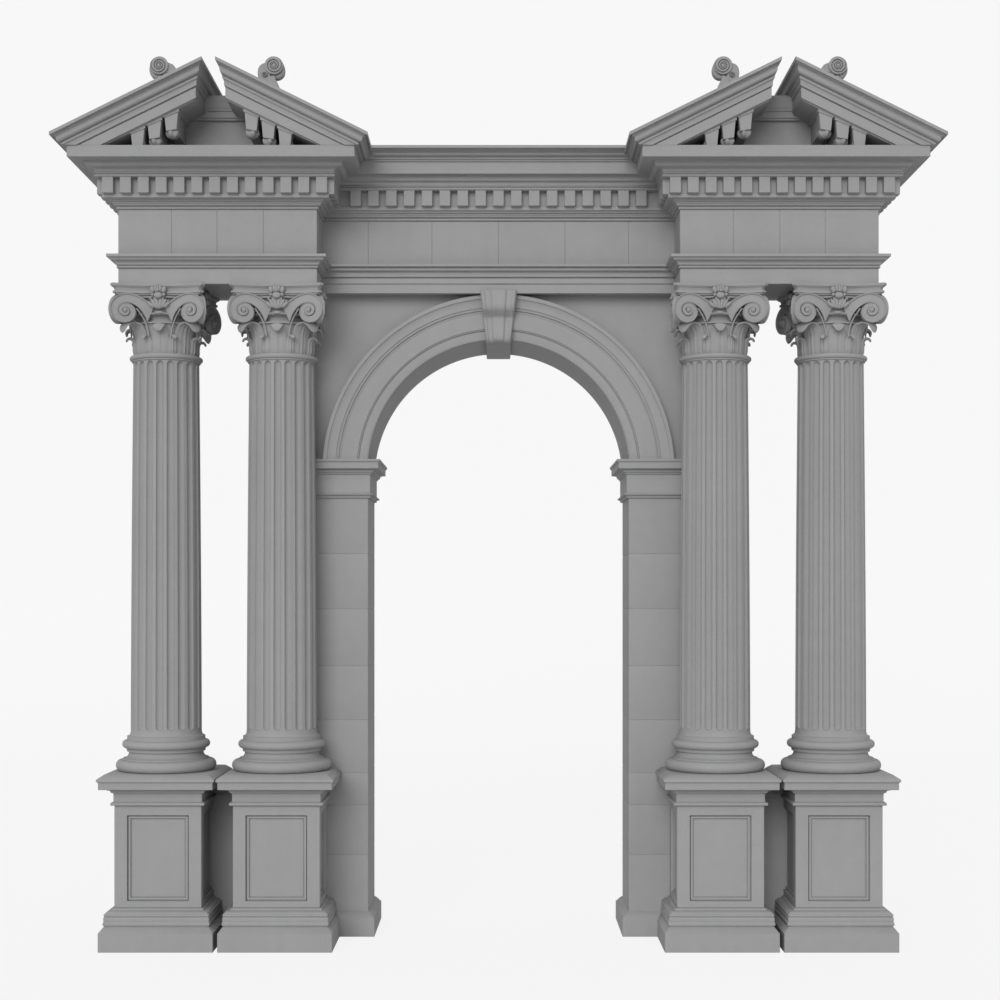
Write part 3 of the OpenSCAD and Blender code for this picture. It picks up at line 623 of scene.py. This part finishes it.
def leaf(look, rows=30, columns=25):
    # Carried up the path and wrapped round the axis: angle = u * half width / out. The
    # front swells and has ribs across u, the edge is lobed, the back lies a little behind
    v = np.linspace(0, 1, rows)
    path = smoothPath(look["path"], v)
    along = np.gradient(path, axis=0)
    along /= np.hypot(*along.T)[:, None]
    normal = np.stack([along[:, 1], -along[:, 0]], axis=1)
    foot, mid, lip = look["width"]
    half = np.interp(v, [0, 0.45, 0.64, 1], [foot, mid, lip, lip])
    half = half * (1 + 0.07 * np.abs(np.sin(v * math.pi * 4.5)) * (v > 0.15))
    end = np.clip((v - look["tip"]) / (1 - look["tip"]), 0, 1)
    tip = np.clip(1 - end ** 1.7, 0.01, 1) ** 0.7
    droop = look["droop"] * np.clip((v - 0.5) / 0.25, 0, 1)[:, None]
    half = (half * tip)[:, None]
    u = np.linspace(-1, 1, columns)[None]
    ribs = 0.0035 * np.abs(np.cos(math.pi * look["ribs"] * u)) + 0.004 * (np.abs(u) > 0.88) - 0.003
    spine = 0.006 * np.exp(-(u / 0.08) ** 2) * np.interp(v, [0, 0.7, 0.95], [1, 1, 0.2])[:, None]
    hold = np.interp(v, [0, 0.8, 1], [1, 0.9, 0.5])[:, None]
    over = (ribs + spine) * hold - 0.012 * u ** 4
    thick = np.interp(v, [0, 0.8, 1], [0.030, 0.022, 0.018])[:, None]

    def layer(offset):
        out = path[:, :1] + normal[:, :1] * offset
        z = path[:, 1:] + normal[:, 1:] * offset - droop * u ** 2
        angle = u * half / np.minimum(path[:, :1], 0.42)
        return gridOf(out * np.sin(angle), -out * np.cos(angle), z)

    front, rear = layer(over), layer(-thick + 0 * u)[:, ::-1]
    return skin(np.concatenate([front, rear], axis=1))


def stem():
    # Horizontal circles along the curve
    x, out, z = smoothPath(capital["stem"], np.linspace(0, 1, 22)).T[:, :, None]
    size = np.interp(np.arange(22), [0, 4, 17, 19, 21], [0.012, 0.009, 0.008, 0.012, 0.004])[:, None]
    return turned(size, circle(10), z, x, -out)


def fan(lobes, out, deep=0.020):
    # Ellipsoids leaning apart, the outer ones a little further back
    made = []
    for turn, *sizes in lobes:
        x, z, half, length = np.array(sizes) / 1000
        made.append(knob((x, -out + 0.15 * abs(x), z), (half, deep, length), lean=math.radians(turn)))
    return made


def abacus():
    # Each ring has four hollow sides, y = -(mid + rise * s^2), and cut corners
    out, z = (arrised(moulding(capital["abacus"])) / 1000).T[:, :, None]
    s = np.linspace(-1, 1, 17)[None]
    tip = capital["abacusHalf"] + out
    x = s * (tip - capital["abacusHorn"])
    y = -(tip - capital["abacusRise"] * (1 - s ** 2))
    sides = [gridOf(x, y, z), gridOf(-y, x, z), gridOf(-x, -y, z), gridOf(y, -x, z)]
    return skin(np.concatenate(sides, axis=1))


def bell():
    # The outline turned round the axis; on the band the radius swells by the bead depth
    # times |cos|, once for each bead
    radius, z = (moulding(capital["bell"], 9) / 1000).T[:, :, None]
    angle = circle(288) - math.pi / 2
    band = np.sin(np.clip((z - capital["bandFoot"]) / capital["bandHeight"], 0, 1) * math.pi)
    bead = np.abs(np.cos(capital["beads"] / 2 * (angle + math.pi / 2)))
    return turned(radius + band * (capital["beadDepth"] * bead - 0.004), angle, z)


def flower():
    # Calyx and flower, a bud on the band, the flower's heart, and the block behind them
    parts = fan(capital["calyx"], capital["calyxOut"]) + fan(capital["flower"], capital["flowerOut"], 0.026)
    return parts + [knob((0, -0.364, 0.402), (0.042, 0.024, 0.019)),
                    knob((0, -0.448, 0.610), (0.016, 0.016, 0.016)), slab(capital["carrier"], -0.405, -0.3)]


def capitalParts(engaged):
    # One corner and one front, turned round the axis; an engaged capital has no rear half
    quarter = math.pi / 2
    corners = (0, -1) if engaged else (0, 1, 2, 3)
    fronts = (0, 1, -1) if engaged else (0, 1, 2, 3)
    face, eye = scrollFace(), scrollEye()
    corner = [face, acrossCorner(face), scrollRim(), eye, acrossCorner(eye)]
    front = [leaf(capital["frontLeaf"]), stem()] + mirrored([stem()]) + flower()
    parts = [bell(), abacus()]
    if engaged:  # the scrolls beside the wall, on the two sides only
        parts += placed([face, scrollRim(), eye], turn=quarter)
        parts += placed([acrossCorner(face), scrollRim(), acrossCorner(eye)], turn=-2 * quarter)
    for k in corners:
        parts += placed(corner, turn=k * quarter)
        parts += placed([leaf(capital["cornerLeaf"])], turn=(k + 0.5) * quarter)
    for k in fronts:
        parts += placed(front, turn=k * quarter)
    for k in range(8):
        turn = (k + 0.5) * quarter / 2
        if not engaged or abs((turn + math.pi) % (2 * math.pi) - math.pi) < 2.0:
            parts += placed([leaf(capital["lowLeaf"], 20, 15)], turn=turn)
    return parts


def flattened(surfaces, y):
    # All that would lie beyond the wall's face is pressed into the first few millimetres
    # of it: y = wall + (y - wall) / 80
    return [(np.where(points > (np.inf, y, np.inf), y + (points - y) / 80, points), quads, caps)
            for points, quads, caps in surfaces]


onBothSides("outer_capital", placed(capitalParts(False), outerX, columnY, capitalFoot), crease=38)
onBothSides("inner_capital", flattened(placed(capitalParts(True), innerX, columnY, capitalFoot), behind),
            crease=38)
print("capitals done")

# Wall: piers with a plinth and V joints between the courses
pier = {"plinth": [[70, 0], [70, 187], [12, 250], [0, 250]], "jointDepth": 5, "jointHalf": 4,
        "joints": [839, 1361, 1694, 2247, 2811, 3405, 3979]}
pierOutline = list(pier["plinth"])
for z in pier["joints"]:
    pierOutline += [[0, z - pier["jointHalf"]], [-pier["jointDepth"], z], [0, z + pier["jointHalf"]]]
pierOutline.append([0, impostFoot * 1000])
onBothSides("pier", [block(openingHalf, wallHalf, wallFront, wallBack, pierOutline, right=0)])

impost = {"outline": [
    [22, 0], [22, 8], [46, 28, "upOut"], [52, 30], [52, 43], [26, 47], [24, 50], [24, 238], [38, 243],
    [38, 254], [42, 257], [56, 268, "outUp"], [58, 272], [80, 292, "upOut"], [86, 297], [114, 297],
    [114, 361], [118, 365], [130, 373, "upOut"], [130, 395]]}
onBothSides("impost", [block(openingHalf, wallHalf, wallFront, wallBack, moulding(impost["outline"]), right=0,
                             foot=impostFoot)])

archivolt = {"width": 465, "profile": [
    [0, 0], [0, 62], [2, 68], [10, 72], [14, 66], [18, 67], [92, 70], [94, 62], [97, 62], [98, 80],
    [106, 82], [108, 74], [111, 74], [113, 84], [276, 86], [284, 92], [290, 92], [292, 80], [304, 80],
    [306, 94], [317, 96], [319, 86], [332, 86], [334, 96], [424, 122, "outUp"], [426, 126], [461, 126],
    [465, 120], [465, 0]]}
archZ = architraveFoot - openingHalf - archivolt["width"] / 1000


def archivoltRing(face, forward, steps=140):
    # Profile of [distance from the opening, height over the wall], carried round the arch
    # from impost to impost; each line of it starts where it meets the impost's top
    out, over = (moulding(archivolt["profile"], 5) / 1000).T
    radius = openingHalf + out
    start = np.arcsin((impostTop - archZ) / radius)
    along = np.linspace(0, 1, steps + 1)[:, None]
    angle = start + (math.pi - 2 * start) * along
    return skin(gridOf(radius * np.cos(angle), face + forward * over, archZ + radius * np.sin(angle)))


piece("frontArchivolt", [archivoltRing(wallFront, -1)], "front_archivolt", crease=30)
piece("backArchivolt", [archivoltRing(wallBack, 1)], "back_archivolt", crease=30)
print("wall done")

# Entablature: the blocks have one plain band under the moulding, the wall has two
architrave = {
    "block": [[0, 0], [0, 147], [-8, 149], [-8, 157], [14, 159], [14, 170, 2], [5, 172], [5, 183], [22, 185],
              [68, 228, "upOut"], [72, 231], [72, 239], [78, 241], [78, 250], [100, 252], [100, 282]],
    "wall": [[0, 0], [0, 92], [12, 95], [12, 149], [3, 151], [3, 160], [28, 162], [28, 190], [32, 193],
             [74, 236, "upOutUp"], [78, 238], [78, 243], [68, 245], [68, 254], [100, 256], [100, 282]],
}
# where the stones of the friezes meet, from the middle of each
frieze = {"blockJoints": (-0.46, 0.005, 0.46), "wallJoints": (-2.01, -1.345, -0.687, 0, 0.687, 1.345, 2.01)}
# how far the dentils and the corona stand out, and the heights of the corona's two edges
cornice = {"blockDentils": 185, "blockCorona": 412, "blockDrip": 140,
           "wallDentils": 150, "wallCorona": 280, "wallDrip": 137, "dentilFoot": 125, "dentilTop": 283}


def bedOutline(d):
    # The moulding under the dentils, which stand out by d
    return [[0, 0], [18, 3], [18, 21], [11, 24], [11, 29], [22, 32], [40, 50, "outUp"], [44, 53],
            [48, 53], [74, 84, "upOutUp"], [78, 88], [d - 53, 90], [d - 53, 125]]


def coronaOutline(d, c, drip):
    # Over the dentils, an S curve out to the drip, then the corona's face at c
    inner = d + 0.40 * (c - d)
    outline = moulding([
        [d - 4, 0], [d + 14, 4], [d + 14, 22], [d + 2, 24], [d + 2, 33], [d + 12, 35], [d + 12, 46, 4],
        [d + 5, 48], [d + 9, 52], [inner, 116, "upOutUp"], [inner + 6, 119], [inner + 6, drip],
        [c, drip], [c, 253]])
    return outline + (0, cornice["dentilTop"])


def corniceOutline(place):
    # The whole cornice of the block or the wall; the band behind the dentils lies 68 back
    d, c, drip = (cornice[place + name] for name in ("Dentils", "Corona", "Drip"))
    foot, top = cornice["dentilFoot"], cornice["dentilTop"]
    return np.concatenate([moulding(bedOutline(d)), [[d - 53, foot], [d - 68, foot], [d - 68, top]],
                           coronaOutline(d, c, drip)])


def stones(edges, y0, y1, z0, z1):
    # A row of blocks with cut arrises, side by side along X
    height = (z1 - z0) * 1000
    return [block(a, b, y0, y1, [[-4, 0], [0, 3], [0, height - 3], [-4, height]], foot=z0, cut=0.005)
            for a, b in zip(edges, edges[1:])]


# notch is the gap left open at each corner
dentil = {"width": 0.110, "length": 0.080, "notch": 0.065, "frontCount": 13, "cut": 0.004}
dentilFoot, dentilTop = (bedFoot + cornice[name] / 1000 for name in ("dentilFoot", "dentilTop"))


def dentils(places):
    # Boxes with cut edges, one for each (x, y, turn) of the middle of its face
    half, length, cut = dentil["width"] / 2, dentil["length"], dentil["cut"]
    ring = np.array([[-half + cut, 0], [half - cut, 0], [half, cut], [half, length], [-half, length],
                     [-half, cut]])
    level = np.array([[0.006, dentilFoot], [0, dentilFoot + 0.004], [0, dentilTop + 0.002]])
    inset, z = level.T[:, :, None]
    u, w = ring[:, 0] * (1 - inset / half), ring[:, 1] + inset * (ring[:, 1] < 0.01)
    box = skin(gridOf(u, w, z))
    return [part for x, y, turn in places for part in placed([box], x, y, 0, turn)]


blockSide = dict(x0=pairX - blockHalf, x1=pairX + blockHalf, y0=blockFront, y1=blockBack)
onBothSides("block_architrave", [block(**blockSide, outline=moulding(architrave["block"]), back=0,
                                       foot=architraveFoot)])
blockJoints = [pairX + offset for offset in (-blockHalf, *frieze["blockJoints"], blockHalf)]
onBothSides("block_frieze", stones(blockJoints, blockFront, blockBack, friezeFoot, bedFoot))

blockOut, halfDentil = cornice["blockDentils"] / 1000, dentil["width"] / 2
edge = blockHalf + blockOut - dentil["notch"] - halfDentil
pitch = 2 * edge / (dentil["frontCount"] - 1)
sideYs = np.arange(blockFront - blockOut + dentil["notch"] + halfDentil, blockBack - 0.055, pitch)
spots = [(x, blockFront - blockOut, 0) for x in pairX + np.linspace(-edge, edge, dentil["frontCount"])]
spots += [(pairX + s * (blockHalf + blockOut), y, s * math.pi / 2) for s in (-1, 1) for y in sideYs]
onBothSides("block_cornice", [block(**blockSide, outline=corniceOutline("block"), back=0, foot=bedFoot)]
            + dentils(spots))

wallSide = dict(x0=-wallHalf, x1=wallHalf, y0=friezeFront, y1=friezeBack)
piece("wallArchitrave", [block(**wallSide, outline=moulding(architrave["wall"]), foot=architraveFoot)],
      "wall_architrave")
piece("wallFrieze", stones([-wallHalf, *frieze["wallJoints"], wallHalf], friezeFront, friezeBack, friezeFoot,
                           bedFoot), "wall_frieze")

# The wall's dentils keep the blocks' pitch: between the blocks, along the back, round the ends
wallOut, besideBlock = cornice["wallDentils"] / 1000, 0.115
frontEdge = pairX - blockHalf - blockOut - besideBlock - halfDentil
frontCount = 2 * math.floor(frontEdge / pitch) + 1
backEdge = wallHalf + wallOut - dentil["notch"] - halfDentil
backCount = 2 * math.floor(backEdge / pitch) + 1
backEnd = friezeBack + wallOut - dentil["notch"] - halfDentil
endCount = math.floor((backEnd - blockBack - halfDentil) / pitch)
spots = [(x, friezeFront - wallOut, 0) for x in np.linspace(-frontEdge, frontEdge, frontCount)]
spots += [(x, friezeBack + wallOut, math.pi) for x in np.linspace(-backEdge, backEdge, backCount)]
spots += [(s * (wallHalf + wallOut), y, s * math.pi / 2) for s in (-1, 1)
          for y in backEnd - pitch * np.arange(endCount + 1)]
# The crown that the wall's cornice has over its corona, cut off where it meets the blocks
crown = {"outline": [
    [280, 0], [284, 0], [284, 6], [298, 7], [298, 18, 3], [290, 19], [290, 24], [304, 25], [304, 42],
    [310, 43], [310, 49], [320, 50], [400, 84, "outUpOut"], [396, 85], [396, 90], [412, 91], [412, 97],
    [404, 98], [404, 103], [437, 104], [437, 134]]}
crownOutline = moulding(crown["outline"])
crownInner = pairX - blockHalf - cornice["blockCorona"] / 1000
piece("wallCornice", [
    block(**wallSide, outline=corniceOutline("wall"), foot=bedFoot),
    block(-crownInner, crownInner, friezeFront, blockBack, crownOutline, left=0, right=0, back=0,
          foot=coronaTop),
    block(-wallHalf, wallHalf, blockBack, friezeBack, crownOutline, front=0, foot=coronaTop)]
    + dentils(spots), "wall_cornice")
print("entablature done")

# Keystone, the same at the front and back of the wall
keystone = {
    "topHalf": 0.190, "footHalf": 0.125, "taper": [6.135, 6.688],
    # the front's side view, (out from the wall, height), and the relief across it
    "front": [(-10, 6150), (60, 6151), (122, 6160), (158, 6184), (170, 6225), (164, 6290), (148, 6350),
              (134, 6395), (140, 6428), (180, 6462), (218, 6498), (232, 6545), (230, 6610), (226, 6688)],
    "across": [0, 0.03, 0.08, 0.13, 0.20, 0.26, 0.42, 0.54, 0.60, 0.66, 0.74, 0.90, 1],
    "relief": [-0.016, -0.008, 0.003, 0.006, 0.004, -0.006, -0.008, -0.007, 0.006, 0.012, 0.013,
               0.012, 0.008],
}


def keystoneBody():
    # Rings up the side view: across the front from left to right, back along the rear
    path = smoothPath(keystone["front"], np.linspace(0, 1, 61))
    out, z = path.T[:, :, None]
    share = np.array(keystone["across"])
    share = np.r_[share - 1, 1 - share[-2::-1]][None]
    relief = np.array(keystone["relief"])
    relief = np.r_[relief, relief[-2::-1]][None] * np.clip((z - keystone["front"][0][1] / 1000) / 0.04, 0, 1)
    half = np.interp(z, keystone["taper"], [keystone["footHalf"], keystone["topHalf"]])
    x = share * half
    front = gridOf(x, wallFront - out - relief, z)
    rear = gridOf(x, wallBack + out + relief, z)[:, ::-1]
    return skin(np.concatenate([front, rear], axis=1))


piece("keystoneBlock", [keystoneBody()], "keystone", crease=32)

# Pediments, worked out for the right-hand one about its own middle
pediment = {
    "angle": 26.3, "eaveUp": 0.094, "crownOut": 0.548, "coronaOut": 0.412, "breakHalf": 0.145,
    "breakReturn": 0.574, "thick": 300,
    "rake": [[384, 0], [384, 8], [412, 10], [412, 103], [402, 104], [402, 110], [430, 111], [430, 142],
             [434, 144], [444, 160, "upOut"], [450, 162], [452, 166], [452, 182, 4], [444, 185], [444, 191],
             [456, 193], [528, 258, "outUpOut"], [522, 260], [522, 269], [548, 270], [548, 300]],
    "inset": 0.155, "modillions": (0.392, 0.557, 0.722), "modillionOut": 0.368, "modillionHalf": 0.070,
    "modillionDrop": 0.170,
    # the sunk wall between the cornices, its cap, and the moulding under the cap, in
    # metres: (distance behind the sunk wall's face, height)
    "wallTop": 8.470, "cap": [(-0.074, 8.456), (-0.074, 8.556), (0.02, 8.606)],
    "capMoulding": [(0.05, 8.338), (-0.034, 8.338), (-0.036, 8.352), (-0.050, 8.362), (-0.050, 8.420),
                    (-0.062, 8.424), (-0.070, 8.456), (0.05, 8.456)], "mouldingHalf": 0.30,
}
slope = math.tan(math.radians(pediment["angle"]))
cosine = 1 / math.hypot(1, slope)
apexZ = coronaTop + pediment["eaveUp"] + (blockHalf + pediment["crownOut"]) * slope
wallOfGable = blockFront + pediment["inset"]


def rakeUnder(x):
    # Height of a raking cornice's underside
    return apexZ - slope * abs(x) - pediment["thick"] / 1000 / cosine


def rakingCornice():
    # For each line of the outline, a path from the break round the front and the eave:
    # height = apex - slope * x - depth / cos, never lower than the level corona's top
    out, up = (arrised(moulding(pediment["rake"]), 3) / 1000).T
    depth = pediment["thick"] / 1000 - up
    floor = coronaTop - 0.002
    breakX = pediment["breakHalf"] - (out - pediment["coronaOut"]) * pediment["breakReturn"]
    eaveX = blockHalf + out
    footX = np.clip((apexZ - depth / cosine - floor) / slope, breakX + 0.01, eaveX - 0.003)
    x = np.stack([breakX, breakX, footX, eaveX, eaveX, footX], axis=1)
    front = blockFront - out
    back = 0 * out + blockBack
    y = np.stack([back, front, front, front, back, back], axis=1)
    z = np.maximum(apexZ - slope * x - depth[:, None] / cosine, floor)
    points, quads, _ = skin(gridOf(x, y, z))
    last = len(out) * 6 - 6
    caps = [np.array(c) + k for k in (0, last) for c in ([0, 1, 2, 5], [5, 2, 3, 4])]
    return points, quads, caps


def alongX(outline, x0, x1):
    # Outline of (y, z) points given its length from x0 to x1
    points = np.array(outline, float)
    return skin(np.stack([np.insert(points, 0, x, axis=1) for x in (x0, x1)]))


def gable():
    # The sunk wall as an upright slab under the rakes, the cap over it, the moulding
    foot = (rakeUnder(0) - coronaTop) / slope
    half, back = pediment["breakHalf"] + 0.02, blockBack - 0.004
    top, across = pediment["wallTop"], pediment["mouldingHalf"]
    cap, under = ([(wallOfGable + y, z) for y, z in pediment[name]] for name in ("cap", "capMoulding"))
    cap += [(back - 0.004, cap[-1][1]), (back - 0.004, cap[0][1])]
    wall = slab([(-foot, coronaTop), (foot, coronaTop), (half, top), (-half, top)], wallOfGable, back, 0.002)
    return [wall, alongX(cap, -half, half), alongX(under, -across, across)]


def modillions():
    # Each is a tapering block with a sloped cap strip, a body back to the wall, a boss below
    h, near = pediment["modillionHalf"], blockFront - pediment["modillionOut"]
    parts = []
    for x in pediment["modillions"]:
        top, foot = rakeUnder(x), max(rakeUnder(x) - pediment["modillionDrop"], coronaTop - 0.01)
        tilt = slope * h * 0.9
        boss = max(foot - 0.012, coronaTop + 0.035)
        parts += [slab([(x - h * 0.74, foot + tilt * 0.3), (x + h * 0.74, foot - tilt * 0.3),
                        (x + h, top - tilt + 0.012), (x - h, top + tilt + 0.012)], near, near + 0.13, 0.005),
                  slab([(x - h * 1.1, top + tilt - 0.020), (x + h * 1.1, top - tilt - 0.020),
                        (x + h * 1.1, top - tilt + 0.02), (x - h * 1.1, top + tilt + 0.02)],
                       near - 0.010, wallOfGable + 0.01, 0.003),
                  slab([(x - 0.046, boss), (x + 0.046, boss), (x + 0.050, top), (x - 0.050, top + 0.01)],
                       near + 0.12, wallOfGable + 0.02),
                  knob((x, near + 0.088, boss), (0.064, 0.076, 0.056), 5, steps=(13, 40))]
    return parts


# Finials: a scroll with a small one beside it; the outlines are (x, height) from its middle
finial = {"x": 0.572, "z": 8.834, "radius": 0.091, "thick": 0.150, "perTurn": 1.72,
          "curlRadius": 0.030, "curlAt": (0.090, -0.088),
          "band": [(0, 90), (-55, 75), (-94, 20), (-104, -40), (-85, -95), (-35, -125), (20, -110),
                   (60, -70), (88, 0), (60, 70)],
          "leaf": [(50, 60), (90, 35), (130, 18), (158, -20), (164, -70), (158, -130), (150, -240),
                   (20, -270), (30, -120), (40, -30)],
          "foot": [(-5, -90), (-20, -140), (-45, -190), (-68, -250), (-82, -320), (-80, -370),
                   (110, -340), (75, -200), (55, -120)]}


def facingFront(surfaces):
    # An upright piece laid down so that its top looks along -Y
    return moved(surfaces, [[1, 0, 0], [0, 0, 1], [0, -1, 0]])


def scrollDisc(radius, thick):
    # Round face with a spiral groove where angle + log(r / radius) / log(perTurn) is a
    # whole number, the bands between swelling, and a button in the middle
    share = np.r_[0.03, 0.07, 0.11, 0.15, 0.19, np.linspace(0.21, 0.955, 62)][:, None]
    angle = circle(120)
    turn = np.mod(angle / (2 * math.pi) - np.log(share) / math.log(finial["perTurn"]), 1)
    groove = np.minimum(turn, 1 - turn)
    fade = np.clip((share - 0.17) / 0.06, 0, 1) * np.clip((1.0 - share) / 0.06, 0, 1)
    lift = 0.006 * np.sin(math.pi * turn) - 0.013 * np.exp(-(groove / 0.13) ** 2)
    z = thick / 2 + fade * lift + 0.010 * np.sqrt(np.clip(1 - (share / 0.17) ** 2, 0, 1))
    top = gridOf(share * radius * np.sin(angle), share * radius * np.cos(angle), z)
    rim = np.concatenate([top[-1:] / (0.955, 0.955, 1) - (0, 0, d) for d in (0.003, 0.009, 0.016)])
    rim[1:] *= (0.985, 0.985, 1)
    return skin(np.concatenate([top, rim, rim[-1:] * (1, 1, 0)]))


def finialParts():
    # Both scrolls, front and back, and three smooth closed outlines given their thickness
    half = finial["thick"] / 2
    disc = facingFront([scrollDisc(finial["radius"], finial["thick"])])
    curl = placed(facingFront([scrollDisc(finial["curlRadius"], finial["thick"] - 0.01)]),
                  finial["curlAt"][0], 0, finial["curlAt"][1])
    around = np.linspace(0, 1, 61)[:-1]

    def shape(name, inset, cut):
        outline = np.array(finial[name])
        closed = smoothPath(np.concatenate([outline, outline[:1]]), around)
        return slab(closed, inset - half, half - inset, cut)

    parts = disc + curl + [shape("band", 0.030, 0.012), shape("leaf", 0.014, 0.020),
                           shape("foot", 0.004, 0.016)]
    parts += mirrored(placed(disc + curl, turn=math.pi))
    return placed(mirrored(parts), finial["x"], blockFront, finial["z"])


outerRake, outerFinial = [rakingCornice()] + modillions(), finialParts()
for place, flip in (("outer", list), ("inner", mirrored)):
    onBothSides(place + "_raking_cornice", placed(flip(outerRake), pairX))
    onBothSides(place + "_finial", placed(flip(outerFinial), pairX))
onBothSides("tympanum", placed(gable(), pairX))
print("pediments done")


def stagePiece(name, grid):
    # An open sheet that isn't part of the object
    points, quads, _ = skin(grid, loop=False, ends=False)
    mesh = bpy.data.meshes.new(name)
    mesh.from_pydata(points.tolist(), [], quads.tolist())
    mesh.materials.append(stageMaterial(name + "Paper"))
    shown(name, mesh)


# A flat floor, a quarter circle and an upright wall, carried along X
reach, bendFrom, bendRadius = stage["reach"], stage["bendFrom"], stage["bendRadius"]
bend = np.linspace(0, math.pi / 2, 25)
sweepY = np.r_[-reach, bendFrom + bendRadius * np.sin(bend), bendFrom + bendRadius]
sweepZ = np.r_[-0.001, -0.001 + bendRadius * (1 - np.cos(bend)), reach]
acrossX = np.array([-reach, reach], float)[:, None]
stagePiece("floor", gridOf(acrossX, sweepY, sweepZ))
